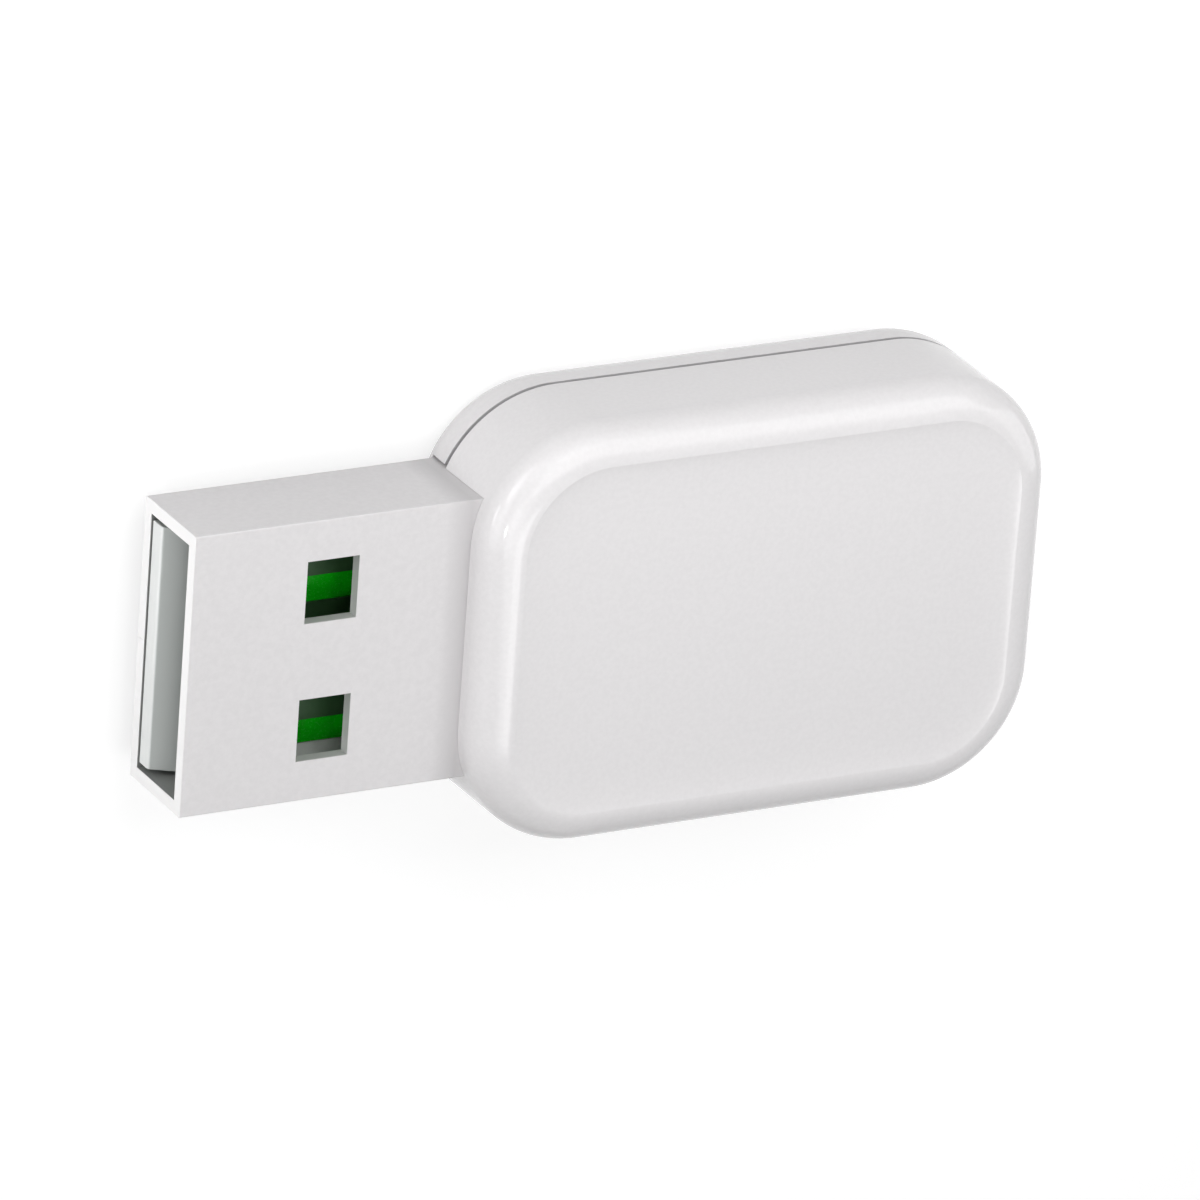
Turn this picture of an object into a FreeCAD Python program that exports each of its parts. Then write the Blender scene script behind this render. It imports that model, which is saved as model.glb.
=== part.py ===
import FreeCAD, Part
import math
import os

# Sizes are in millimetres. X runs from the plug's mouth to the housing's far end, Y across
# the stick, and Z up from the flat back that it lies on. The origin is the middle of that back.

# Plug, a standard type A one, folded from sheet
PLUG_WIDTH = 12.0
PLUG_THICKNESS = 4.5
PLUG_REACH = 12.15
PLUG_TAIL = 4.6
PLUG_SHEET = 0.55
PLUG_FOLD_RADIUS = 0.1
PLUG_AXIS_HEIGHT = 3.6
WINDOW_LENGTH = 2.28
WINDOW_WIDTH = 2.66
WINDOW_FROM_MOUTH = 5.0
WINDOW_SPACING = 5.92
FOLD_SEAM_GAP = 0.04
DOVETAIL_FROM_MOUTH = 8.6
DOVETAIL_LENGTH = 1.6
DOVETAIL_DEPTH = 1.0
DOVETAIL_FLARE = 0.3
TAB_LENGTH = 2.2
TAB_BELOW_BOARD = 0.5
TAB_ABOVE_BOARD = 0.4

# Housing, two moulded halves
HOUSING_LENGTH = 25.55
HOUSING_WIDTH = 18.1
HOUSING_THICKNESS = 7.8
CORNER_RADIUS = 5.1
SEAM_HEIGHT = 2.4
DRAFT_ANGLE = 0.5
FRONT_FILLET = 1.5
DISH_MARGIN = 1.6
DISH_DEPTH = 0.08
DISH_SLOPE_WIDTH = 0.3
BACK_FILLET = 1.75
WALL = 1.2
FRONT_WALL = 1.3
COVER_FLOOR = 1.2
INNER_CHAMFER = 0.5
SEAM_GROOVE_HEIGHT = 0.2
SEAM_GROOVE_DEPTH = 0.35
LIP_THICKNESS = 0.8
LIP_HEIGHT = 1.4
HOOK_LENGTH = 3.0
HOOK_REACH = 0.35
HOOK_HEIGHT = 0.6
HOOK_BELOW_LIP_TOP = 0.15
HOOK_SPACING = 9.0
RIB = 0.8
POST_DIAMETER = 1.8
PIN_DIAMETER = 1.0
PIN_HEIGHT = 1.4
PLUG_STOP_WIDTH = 3.0

# Board and tongue
BOARD_THICKNESS = 0.8
TONGUE_SIDE_GAP = 0.25
TONGUE_RAIL = 0.6
TONGUE_NOSE = 2.0
NOSE_RAMP_LENGTH = 1.5
NOSE_RAMP_DEPTH = 0.78
NOSE_EDGE_RADIUS = 0.32
NOSE_SET_BACK = 0.05
SHOULDER_RADIUS = 0.6
CONTACT_THICKNESS = 0.1
DATA_CONTACT_WIDTH = 1.0
POWER_CONTACT_WIDTH = 0.88
DATA_CONTACT_OFFSET = 1.05
POWER_CONTACT_OFFSET = 3.1
DATA_CONTACT_FROM_MOUTH = 3.4
POWER_CONTACT_FROM_MOUTH = 2.5
CONTACT_END_FROM_MOUTH = 10.4

# Clearances
PLUG_FIT = 0.04
COVER_PLUG_GAP = 0.12
LIP_FIT = 0.1
HOOK_FIT = 0.1
TONGUE_FLOOR_GAP = 0.1
BOARD_RAIL_FIT = 0.04
BOARD_LIP_GAP = 0.25
BOARD_TAIL_GAP = 0.15
TAB_FIT = 0.1
PIN_FIT = 0.1
PLUG_STOP_FIT = 0.05

# Parts on the board: length along X, width along Y, height
RADIO_CHIP = (4.0, 4.0, 0.85)
BRIDGE_CHIP = (3.0, 3.0, 0.85)
REGULATOR = (2.9, 1.6, 1.1)
SURGE_PROTECTOR = (2.9, 1.6, 1.0)
CRYSTAL = (2.5, 2.0, 0.65)
ANTENNA = (1.5, 5.0, 0.9)
FUSE = (2.0, 1.25, 0.7)
FERRITE = (1.6, 0.8, 0.8)
BULK_CAPACITOR = (2.0, 1.25, 1.2)
SMALL_CHIP = (0.5, 1.0, 0.5)
SMALL_CHIP_PITCH = 1.3
CAPACITOR_COUNT = 6
RESISTOR_COUNT = 4
INDUCTOR_COUNT = 2
SHIELD = (5.6, 10.0, 1.7)
SHIELD_SHEET = 0.2
SHIELD_CORNER_SLIT = 0.3
SHIELD_HOLE = 0.8
SHIELD_HOLE_PITCH = 2.2
LEAD_THICKNESS = 0.15
LEAD_WIDTH = 0.4
LEAD_REACH = 0.6
LEAD_PITCH = 0.95
TERMINAL = 0.22
PART_GAP = 0.25

# Places that follow from the sizes
OVERALL_LENGTH = PLUG_REACH + HOUSING_LENGTH
MOUTH_X = -OVERALL_LENGTH / 2
HOUSING_X = MOUTH_X + PLUG_REACH
END_X = OVERALL_LENGTH / 2
TAIL_X = HOUSING_X + PLUG_TAIL
PLUG_BOTTOM = PLUG_AXIS_HEIGHT - PLUG_THICKNESS / 2
PLUG_TOP = PLUG_AXIS_HEIGHT + PLUG_THICKNESS / 2
BOARD_TOP = PLUG_AXIS_HEIGHT
BOARD_BOTTOM = BOARD_TOP - BOARD_THICKNESS
TONGUE_WIDTH = PLUG_WIDTH - 2 * (PLUG_SHEET + TONGUE_SIDE_GAP)
TONGUE_BOARD_WIDTH = TONGUE_WIDTH - 2 * (TONGUE_RAIL + BOARD_RAIL_FIT)
ROOF_Z = HOUSING_THICKNESS - FRONT_WALL
LIP_INSET = WALL + LIP_FIT
CAVITY_INSET = LIP_INSET + LIP_THICKNESS
LIP_TOP = SEAM_HEIGHT + LIP_HEIGHT
BOARD_INSET = CAVITY_INSET + BOARD_LIP_GAP
SHOULDER_X = TAIL_X + BOARD_TAIL_GAP
BOARD_END_X = END_X - BOARD_INSET
BOARD_HALF_WIDTH = HOUSING_WIDTH / 2 - BOARD_INSET
TAB_Y = PLUG_WIDTH / 2 - PLUG_SHEET
FRONT_POST_X = SHOULDER_X + TAB_LENGTH + POST_DIAMETER
FRONT_POST_Y = BOARD_HALF_WIDTH - POST_DIAMETER / 2
REAR_POST_X = BOARD_END_X - POST_DIAMETER
REAR_POST_Y = BOARD_HALF_WIDTH - POST_DIAMETER
OVERCUT = 1.0


def vec(x, y, z):
    return FreeCAD.Vector(x, y, z)


def block(x0, x1, y0, y1, z0, z1):
    """A box between two corners."""
    return Part.makeBox(x1 - x0, y1 - y0, z1 - z0, vec(x0, y0, z0))


def post(x, y, diameter, z0, z1):
    """An upright round post or the drill for a hole."""
    return Part.makeCylinder(diameter / 2, z1 - z0, vec(x, y, z0))


def fuse(shapes):
    """One solid from touching pieces."""
    first, rest = shapes[0], shapes[1:]
    return first.multiFuse(rest).removeSplitter()


def save(name, shape):
    """Write one sub-part."""
    shape.exportStep("parts/" + name + ".step")


def level_edges(shape, z):
    """The edges that lie flat at one height."""
    found = []
    for edge in shape.Edges:
        bounds = edge.BoundBox
        if abs(bounds.ZMin - z) < 0.001 and abs(bounds.ZMax - z) < 0.001:
            found.append(edge)
    return found


def upright_edges(shape):
    """The straight edges that run along Z."""
    found = []
    for edge in shape.Edges:
        bounds = edge.BoundBox
        if bounds.XLength < 0.001 and bounds.YLength < 0.001:
            found.append(edge)
    return found


def housing_outline(inset, z):
    """The housing's rounded outline, drawn in from the outside by an inset."""
    x0 = HOUSING_X + inset
    x1 = END_X - inset
    y1 = HOUSING_WIDTH / 2 - inset
    radius = CORNER_RADIUS - inset
    edges = []
    corners = [(x1, y1, 0), (x0, y1, 90), (x0, -y1, 180), (x1, -y1, 270)]
    arcs = []
    for corner_x, corner_y, angle in corners:
        centre = vec(corner_x - math.copysign(radius, corner_x - (x0 + x1) / 2),
                     corner_y - math.copysign(radius, corner_y), z)
        arcs.append(Part.makeCircle(radius, centre, vec(0, 0, 1), angle, angle + 90))
    for index, arc in enumerate(arcs):
        following = arcs[(index + 1) % len(arcs)]
        edges.append(arc)
        start = arc.valueAt(arc.LastParameter)
        end = following.valueAt(following.FirstParameter)
        edges.append(Part.LineSegment(start, end).toShape())
    return Part.Wire(edges)


def housing_block(inset, z0, z1):
    """A straight-sided block on the housing's outline."""
    face = Part.Face(housing_outline(inset, z0))
    return face.extrude(vec(0, 0, z1 - z0))


def drafted_block(inset, z0, z1):
    """A block on the housing's outline whose sides lean in by the draft angle."""
    lean = (z1 - z0) * math.tan(math.radians(DRAFT_ANGLE))
    lower = housing_outline(inset, z0)
    upper = housing_outline(inset + lean, z1)
    return Part.makeLoft([lower, upper], True, True)


def front_dish():
    """The shallow sunk panel in the front face, with a sloped edge inside the rounded rim."""
    rim = housing_outline(DISH_MARGIN, HOUSING_THICKNESS)
    bottom = housing_outline(DISH_MARGIN + DISH_SLOPE_WIDTH, HOUSING_THICKNESS - DISH_DEPTH)
    return Part.makeLoft([bottom, rim], True, True)


def plug_slot(clearance, z0, z1):
    """The room that the plug's shell takes where it passes into the housing."""
    half = PLUG_WIDTH / 2 + clearance
    return block(HOUSING_X - OVERCUT, TAIL_X, -half, half, z0, z1)


def hook_places():
    """Where the snap hooks stand: centre along the wall, and the wall's side."""
    middle = (HOUSING_X + END_X) / 2
    places = []
    for side in (-1, 1):
        for step in (-0.5, 0.5):
            places.append((middle + step * HOOK_SPACING, side))
    return places


def hook_wedge(x, side, growth):
    """A snap hook on the lip, or with growth the pocket that it snaps into."""
    root = HOUSING_WIDTH / 2 - LIP_INSET - LIP_THICKNESS / 2
    face = HOUSING_WIDTH / 2 - LIP_INSET
    tip = face + HOOK_REACH + growth
    top = LIP_TOP - HOOK_BELOW_LIP_TOP + growth
    bottom = top - HOOK_HEIGHT - 2 * growth
    nose = bottom + HOOK_HEIGHT / 3 + growth
    half = HOOK_LENGTH / 2 + growth
    corners = [(root, bottom), (face, bottom), (tip, nose), (face, top), (root, top)]
    if growth > 0:
        corners = [(root, bottom), (tip, bottom), (tip, top), (root, top)]
    points = [vec(x - half, side * y, z) for y, z in corners]
    outline = Part.makePolygon(points + points[:1])
    return Part.Face(outline).extrude(vec(2 * half, 0, 0))


def post_places():
    """The board's four supports: place, and whether a pin goes through the board."""
    places = []
    for side in (-1, 1):
        places.append((FRONT_POST_X, side * FRONT_POST_Y, False))
        places.append((REAR_POST_X, side * REAR_POST_Y, True))
    return places


def make_front_shell():
    """The deep front half: drafted walls, a rounded front, ribs and bosses inside."""
    outside = drafted_block(0, SEAM_HEIGHT, HOUSING_THICKNESS)
    outside = outside.makeFillet(FRONT_FILLET, level_edges(outside, HOUSING_THICKNESS))
    outside = outside.cut(front_dish())
    inside = drafted_block(WALL, SEAM_HEIGHT, ROOF_Z)
    inside = inside.makeChamfer(INNER_CHAMFER, level_edges(inside, ROOF_Z))
    shell = outside.cut(inside)
    groove_top = SEAM_HEIGHT + SEAM_GROOVE_HEIGHT
    groove = housing_block(-OVERCUT, SEAM_HEIGHT - OVERCUT, groove_top)
    groove = groove.cut(housing_block(SEAM_GROOVE_DEPTH, SEAM_HEIGHT - OVERCUT, groove_top))
    shell = shell.cut(groove)
    shell = shell.cut(plug_slot(PLUG_FIT, SEAM_HEIGHT - OVERCUT, PLUG_TOP + PLUG_FIT))
    for x, side in hook_places():
        shell = shell.cut(hook_wedge(x, side, HOOK_FIT))

    additions = [shell]
    plug_face = PLUG_TOP + PLUG_FIT
    saddle_half = PLUG_WIDTH / 2 - RIB
    for x in (HOUSING_X + WALL + RIB, TAIL_X - 2 * RIB):
        additions.append(block(x, x + RIB, -saddle_half, saddle_half, plug_face, ROOF_Z + RIB))
    guide_inner = PLUG_WIDTH / 2 + PLUG_FIT
    stop_x = TAIL_X + PLUG_STOP_FIT
    for side in (-1, 1):
        y0, y1 = sorted((side * guide_inner, side * (guide_inner + RIB)))
        guide_bottom = LIP_TOP + LIP_FIT
        additions.append(block(HOUSING_X + WALL / 2 + RIB, stop_x, y0, y1, guide_bottom, ROOF_Z + RIB))
        y0, y1 = sorted((side * (guide_inner + RIB), side * (guide_inner - PLUG_STOP_WIDTH)))
        stop_bottom = BOARD_TOP + TAB_ABOVE_BOARD + TAB_FIT
        additions.append(block(stop_x, stop_x + RIB, y0, y1, stop_bottom, ROOF_Z + RIB))
    for x, y, pinned in post_places():
        boss = post(x, y, POST_DIAMETER, BOARD_TOP, ROOF_Z + RIB)
        if pinned:
            socket_top = BOARD_TOP + PIN_HEIGHT + PIN_FIT
            boss = boss.cut(post(x, y, PIN_DIAMETER + 2 * PIN_FIT, BOARD_TOP, socket_top))
        additions.append(boss)
    return fuse(additions)


def make_back_cover():
    """The shallow back half: rounded back, lip with snap hooks, board posts and pins."""
    outside = housing_block(0, 0, SEAM_HEIGHT)
    outside = outside.makeFillet(BACK_FILLET, level_edges(outside, 0))
    inside = housing_block(CAVITY_INSET, COVER_FLOOR, LIP_TOP + OVERCUT)
    inside = inside.makeChamfer(INNER_CHAMFER, level_edges(inside, COVER_FLOOR))
    lip = housing_block(LIP_INSET, SEAM_HEIGHT - OVERCUT, LIP_TOP)
    pieces = [outside, lip]
    for x, side in hook_places():
        pieces.append(hook_wedge(x, side, 0))
    cover = fuse(pieces).cut(inside)
    cover = cover.cut(plug_slot(COVER_PLUG_GAP, PLUG_BOTTOM - PLUG_FIT, LIP_TOP + OVERCUT))

    additions = [cover]
    for x, y, pinned in post_places():
        additions.append(post(x, y, POST_DIAMETER, COVER_FLOOR - INNER_CHAMFER, BOARD_BOTTOM))
        if pinned:
            additions.append(post(x, y, PIN_DIAMETER, COVER_FLOOR, BOARD_TOP + PIN_HEIGHT))
    seat_half = PLUG_WIDTH / 2 - RIB
    for x in (HOUSING_X + CAVITY_INSET, TAIL_X - 2 * RIB):
        seat_bottom = COVER_FLOOR - INNER_CHAMFER
        additions.append(block(x, x + RIB, -seat_half, seat_half, seat_bottom, PLUG_BOTTOM))
    return fuse(additions)


def dovetail_slit():
    """The line where the folded sheet's two edges meet, with one dovetail that locks them."""
    half = FOLD_SEAM_GAP / 2
    z0 = PLUG_BOTTOM - OVERCUT
    height = OVERCUT + PLUG_SHEET + PLUG_FOLD_RADIUS
    start = MOUTH_X + DOVETAIL_FROM_MOUTH
    end = start + DOVETAIL_LENGTH
    flare = DOVETAIL_FLARE
    # Round the dovetail the slit's two sides run at half its width from its middle line
    depth = DOVETAIL_DEPTH
    near = [(MOUTH_X - OVERCUT, half), (start - half, half), (start - flare - half, depth),
            (end + flare + half, depth), (end + half, half), (TAIL_X + OVERCUT, half)]
    inner = depth - 2 * half
    far = [(TAIL_X + OVERCUT, -half), (end - half, -half), (end + flare - 3 * half, inner),
           (start - flare + 3 * half, inner), (start + half, -half), (MOUTH_X - OVERCUT, -half)]
    points = [vec(x, y, z0) for x, y in near + far]
    outline = Part.makePolygon(points + points[:1])
    return Part.Face(outline).extrude(vec(0, 0, height))


def make_plug_shell():
    """The plug's folded shell: a square tube with latch windows and two solder tabs."""
    half_width = PLUG_WIDTH / 2
    tube = block(MOUTH_X, TAIL_X, -half_width, half_width, PLUG_BOTTOM, PLUG_TOP)
    folds = []
    for edge in tube.Edges:
        if edge.BoundBox.XLength > PLUG_REACH:
            folds.append(edge)
    tube = tube.makeFillet(PLUG_FOLD_RADIUS, folds)
    hollow_half = half_width - PLUG_SHEET
    hollow = block(MOUTH_X - OVERCUT, TAIL_X + OVERCUT, -hollow_half, hollow_half,
                   PLUG_BOTTOM + PLUG_SHEET, PLUG_TOP - PLUG_SHEET)
    tube = tube.cut(hollow)
    window_x = MOUTH_X + WINDOW_FROM_MOUTH
    for side in (-1, 1):
        y0 = side * WINDOW_SPACING / 2 - WINDOW_WIDTH / 2
        tube = tube.cut(block(window_x, window_x + WINDOW_LENGTH, y0, y0 + WINDOW_WIDTH,
                              PLUG_BOTTOM - OVERCUT, PLUG_TOP + OVERCUT))
    tube = tube.cut(dovetail_slit())
    pieces = [tube]
    for side in (-1, 1):
        y0, y1 = sorted((side * TAB_Y, side * half_width))
        pieces.append(block(TAIL_X - PLUG_SHEET, TAIL_X + TAB_LENGTH, y0, y1,
                            BOARD_BOTTOM - TAB_BELOW_BOARD, BOARD_TOP + TAB_ABOVE_BOARD))
    return fuse(pieces)


def make_tongue_carrier():
    """The white tray under the board's tongue: ramped nose, floor, two rails."""
    half = TONGUE_WIDTH / 2
    x0 = MOUTH_X + NOSE_SET_BACK
    floor_z = PLUG_BOTTOM + PLUG_SHEET + TONGUE_FLOOR_GAP
    profile = [(x0, floor_z), (TAIL_X, floor_z), (TAIL_X, BOARD_TOP),
               (x0 + NOSE_RAMP_LENGTH, BOARD_TOP), (x0, BOARD_TOP - NOSE_RAMP_DEPTH)]
    points = [vec(x, -half, z) for x, z in profile]
    outline = Part.makePolygon(points + points[:1])
    tray = Part.Face(outline).extrude(vec(0, TONGUE_WIDTH, 0))
    nose_edges = []
    for edge in tray.Edges:
        bounds = edge.BoundBox
        if abs(bounds.XMax - x0) < 0.001 and bounds.ZMin > floor_z + 0.001:
            nose_edges.append(edge)
    tray = tray.makeFillet(NOSE_EDGE_RADIUS, nose_edges)
    rail_half = TONGUE_BOARD_WIDTH / 2 + BOARD_RAIL_FIT
    recess = block(MOUTH_X + TONGUE_NOSE, TAIL_X + OVERCUT, -rail_half, rail_half,
                   BOARD_BOTTOM, BOARD_TOP + OVERCUT)
    tray = tray.cut(recess)
    # The widened root centres the tray in the shell
    root_half = PLUG_WIDTH / 2 - PLUG_SHEET - PLUG_FIT
    pieces = [tray]
    for side in (-1, 1):
        y0, y1 = sorted((side * (half - BOARD_RAIL_FIT), side * root_half))
        pieces.append(block(HOUSING_X, TAIL_X, y0, y1, floor_z, BOARD_TOP))
    return fuse(pieces)


def make_main_board():
    """The circuit board: a wide part in the housing and a tongue into the plug."""
    wide = block(SHOULDER_X, BOARD_END_X, -BOARD_HALF_WIDTH, BOARD_HALF_WIDTH, BOARD_BOTTOM, BOARD_TOP)
    front_corners = [edge for edge in upright_edges(wide) if edge.BoundBox.XMax < SHOULDER_X + 0.001]
    wide = wide.makeFillet(SHOULDER_RADIUS, front_corners)
    rear_corners = [edge for edge in upright_edges(wide) if edge.BoundBox.XMin > BOARD_END_X - 0.001]
    wide = wide.makeFillet(CORNER_RADIUS - BOARD_INSET, rear_corners)
    tongue_half = TONGUE_BOARD_WIDTH / 2
    tongue = block(MOUTH_X + TONGUE_NOSE, SHOULDER_X + SHOULDER_RADIUS, -tongue_half, tongue_half,
                   BOARD_BOTTOM, BOARD_TOP)
    board = fuse([wide, tongue])
    for side in (-1, 1):
        y0, y1 = sorted((side * (TAB_Y - TAB_FIT), side * (PLUG_WIDTH / 2 + TAB_FIT)))
        board = board.cut(block(SHOULDER_X - OVERCUT, TAIL_X + TAB_LENGTH + TAB_FIT, y0, y1,
                                BOARD_BOTTOM - OVERCUT, BOARD_TOP + OVERCUT))
    for x, y, pinned in post_places():
        if pinned:
            board = board.cut(post(x, y, PIN_DIAMETER + 2 * PIN_FIT, BOARD_BOTTOM, BOARD_TOP))
    return board


def make_contact(offset, width, from_mouth):
    """One of the plug's four contacts, a plate with a rounded front end."""
    x0 = MOUTH_X + from_mouth
    x1 = MOUTH_X + CONTACT_END_FROM_MOUTH
    plate = block(x0 + width / 2, x1, offset - width / 2, offset + width / 2,
                  BOARD_TOP, BOARD_TOP + CONTACT_THICKNESS)
    front = post(x0 + width / 2, offset, width, BOARD_TOP, BOARD_TOP + CONTACT_THICKNESS)
    return fuse([plate, front])


def on_board(x, y, size):
    """A block centred at a place on the board."""
    length, width, height = size
    return block(x - length / 2, x + length / 2, y - width / 2, y + width / 2, BOARD_TOP, BOARD_TOP + height)


def make_flat_chip(x, y, size, terminals):
    """A leadless chip: moulded block with a pin mark and terminals in its lower edges."""
    length, width, height = size
    body = on_board(x, y, size)
    body = body.makeChamfer(TERMINAL, upright_edges(body)[:1])
    mark = post(x - length / 2 + 3 * TERMINAL, y - width / 2 + 3 * TERMINAL, 2 * TERMINAL,
                BOARD_TOP + height - TERMINAL / 2, BOARD_TOP + height)
    body = body.cut(mark)
    pitch = (length - 6 * TERMINAL) / (terminals - 1)
    for index in range(terminals):
        place = x + (index - (terminals - 1) / 2) * pitch
        for side in (-1, 1):
            notch = block(place - TERMINAL / 2, place + TERMINAL / 2,
                          y + side * width / 2 - TERMINAL / 2, y + side * width / 2 + TERMINAL / 2,
                          BOARD_TOP, BOARD_TOP + TERMINAL)
            body = body.cut(notch)
    return body


def gull_lead(x, y, side, height):
    """A bent lead from a package's side down to the board."""
    top = BOARD_TOP + height / 2
    thickness = LEAD_THICKNESS
    knee = LEAD_REACH / 3
    profile = [(-thickness, top), (knee + thickness, top), (knee + thickness, BOARD_TOP + thickness),
               (LEAD_REACH, BOARD_TOP + thickness), (LEAD_REACH, BOARD_TOP), (knee, BOARD_TOP),
               (knee, top - thickness), (-thickness, top - thickness)]
    points = [vec(x - LEAD_WIDTH / 2, y + side * out, z) for out, z in profile]
    outline = Part.makePolygon(points + points[:1])
    return Part.Face(outline).extrude(vec(LEAD_WIDTH, 0, 0))


def make_leaded_chip(x, y, size, near_leads, far_leads):
    """A small moulded package on bent leads."""
    length, width, height = size
    stand_off = LEAD_THICKNESS / 2
    body = block(x - length / 2, x + length / 2, y - width / 2, y + width / 2,
                 BOARD_TOP + stand_off, BOARD_TOP + height)
    body = body.makeChamfer(LEAD_THICKNESS, level_edges(body, BOARD_TOP + height))
    pieces = [body]
    for side, steps in ((-1, near_leads), (1, far_leads)):
        for step in steps:
            pieces.append(gull_lead(x + step * LEAD_PITCH, y + side * width / 2, side, height))
    return fuse(pieces)


def make_end_capped(x, y, size, along_x):
    """A chip component: a ceramic block between two slightly larger metal ends."""
    length, width, height = size
    rim = LEAD_THICKNESS / 5
    body = on_board(x, y, (length - 2 * rim, width - 2 * rim, height - rim))
    caps = []
    for side in (-1, 1):
        if along_x:
            cap_length = length / 5
            cap = on_board(x + side * (length - cap_length) / 2, y, (cap_length, width, height))
        else:
            cap_width = width / 5
            cap = on_board(x, y + side * (width - cap_width) / 2, (length, cap_width, height))
        caps.append(cap)
    return fuse([body] + caps)


def make_row(x, y, count, size):
    """A row of small chip components along Y, as separate solids."""
    solids = []
    for index in range(count):
        place = y + (index - (count - 1) / 2) * SMALL_CHIP_PITCH
        solids.append(make_end_capped(x, place, size, False))
    return Part.makeCompound(solids)


def make_crystal(x, y):
    """The crystal: a ceramic base under a smaller metal lid."""
    length, width, height = CRYSTAL
    base = on_board(x, y, (length, width, height / 2))
    lid = on_board(x, y, (length - 2 * TERMINAL, width - 2 * TERMINAL, height))
    lid = lid.makeFillet(TERMINAL, upright_edges(lid))
    return fuse([base, lid])


def make_shield_can(x, y):
    """The folded tin can over the radio: open below, slit corners, vent holes."""
    length, width, height = SHIELD
    can = on_board(x, y, SHIELD)
    can = can.makeFillet(SHIELD_SHEET, level_edges(can, BOARD_TOP + height))
    inner = (length - 2 * SHIELD_SHEET, width - 2 * SHIELD_SHEET, height - SHIELD_SHEET)
    can = can.cut(on_board(x, y, inner))
    for side_x in (-1, 1):
        for side_y in (-1, 1):
            corner_x = x + side_x * length / 2
            corner_y = y + side_y * width / 2
            slit = SHIELD_CORNER_SLIT
            can = can.cut(block(corner_x - slit, corner_x + slit, corner_y - slit, corner_y + slit,
                                BOARD_TOP, BOARD_TOP + height - 2 * SHIELD_SHEET))
    for step_x in (-0.5, 0.5):
        for step_y in (-1, 0, 1):
            can = can.cut(post(x + step_x * SHIELD_HOLE_PITCH, y + step_y * SHIELD_HOLE_PITCH, SHIELD_HOLE,
                               BOARD_TOP + height - 2 * SHIELD_SHEET, BOARD_TOP + height))
    return can


save("front_shell", make_front_shell())
save("back_cover", make_back_cover())
save("plug_shell", make_plug_shell())
save("tongue_carrier", make_tongue_carrier())
save("main_board", make_main_board())
save("power_contact", make_contact(POWER_CONTACT_OFFSET, POWER_CONTACT_WIDTH, POWER_CONTACT_FROM_MOUTH))
save("data_minus_contact", make_contact(DATA_CONTACT_OFFSET, DATA_CONTACT_WIDTH, DATA_CONTACT_FROM_MOUTH))
save("data_plus_contact", make_contact(-DATA_CONTACT_OFFSET, DATA_CONTACT_WIDTH, DATA_CONTACT_FROM_MOUTH))
save("ground_contact", make_contact(-POWER_CONTACT_OFFSET, POWER_CONTACT_WIDTH, POWER_CONTACT_FROM_MOUTH))

# Parts on the board that are laid out from the plug's end
entry_x = SHOULDER_X + PART_GAP + SURGE_PROTECTOR[0] / 2
save("surge_protector", make_leaded_chip(entry_x, 0, SURGE_PROTECTOR, (-1, 0, 1), (-1, 0, 1)))
entry_y = SURGE_PROTECTOR[1] / 2 + LEAD_REACH + PART_GAP
save("power_fuse", make_end_capped(entry_x, entry_y + FUSE[1] / 2, FUSE, True))
save("ferrite_bead", make_end_capped(entry_x, -entry_y - FERRITE[1] / 2, FERRITE, True))

bridge_x = entry_x + SURGE_PROTECTOR[0] / 2 + PART_GAP + BRIDGE_CHIP[0] / 2
bridge_y = FRONT_POST_Y - POST_DIAMETER / 2 - PART_GAP - BRIDGE_CHIP[1] / 2
save("usb_bridge_chip", make_flat_chip(bridge_x, -bridge_y, BRIDGE_CHIP, 6))
save("bulk_capacitor", make_end_capped(bridge_x, BULK_CAPACITOR[1] / 2, BULK_CAPACITOR, True))
regulator_y = BULK_CAPACITOR[1] + PART_GAP + LEAD_REACH + REGULATOR[1] / 2
save("voltage_regulator", make_leaded_chip(bridge_x, regulator_y, REGULATOR, (-1, 0, 1), (-1, 1)))
resistor_x = bridge_x + BRIDGE_CHIP[0] / 2 + PART_GAP / 2 + SMALL_CHIP[0] / 2
save("resistors", make_row(resistor_x, -bridge_y, RESISTOR_COUNT, SMALL_CHIP))

# Parts on the board that are laid out from the far end
antenna_x = BOARD_END_X - PART_GAP - ANTENNA[0] / 2
save("chip_antenna", make_end_capped(antenna_x, 0, ANTENNA, False))
inductor_x = antenna_x - ANTENNA[0] / 2 - PART_GAP - SMALL_CHIP[0] / 2
save("matching_inductors", make_row(inductor_x, 0, INDUCTOR_COUNT, SMALL_CHIP))

shield_x = REAR_POST_X - POST_DIAMETER / 2 - PART_GAP - SHIELD[0] / 2
save("shield_can", make_shield_can(shield_x, 0))
inside_x = shield_x - SHIELD[0] / 2 + SHIELD_SHEET + PART_GAP / 2
capacitor_x = inside_x + SMALL_CHIP[0] / 2
save("bypass_capacitors", make_row(capacitor_x, 0, CAPACITOR_COUNT, SMALL_CHIP))
radio_x = inside_x + SMALL_CHIP[0] + PART_GAP / 2 + RADIO_CHIP[0] / 2
radio_y = -SHIELD[1] / 2 + SHIELD_SHEET + 2 * PART_GAP + RADIO_CHIP[1] / 2
save("radio_chip", make_flat_chip(radio_x, radio_y, RADIO_CHIP, 8))
crystal_y = radio_y + RADIO_CHIP[1] / 2 + 2 * PART_GAP + CRYSTAL[1] / 2
save("radio_crystal", make_crystal(radio_x, crystal_y))
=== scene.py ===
import math

import bmesh
import bpy
from mathutils import Matrix, Vector


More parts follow.
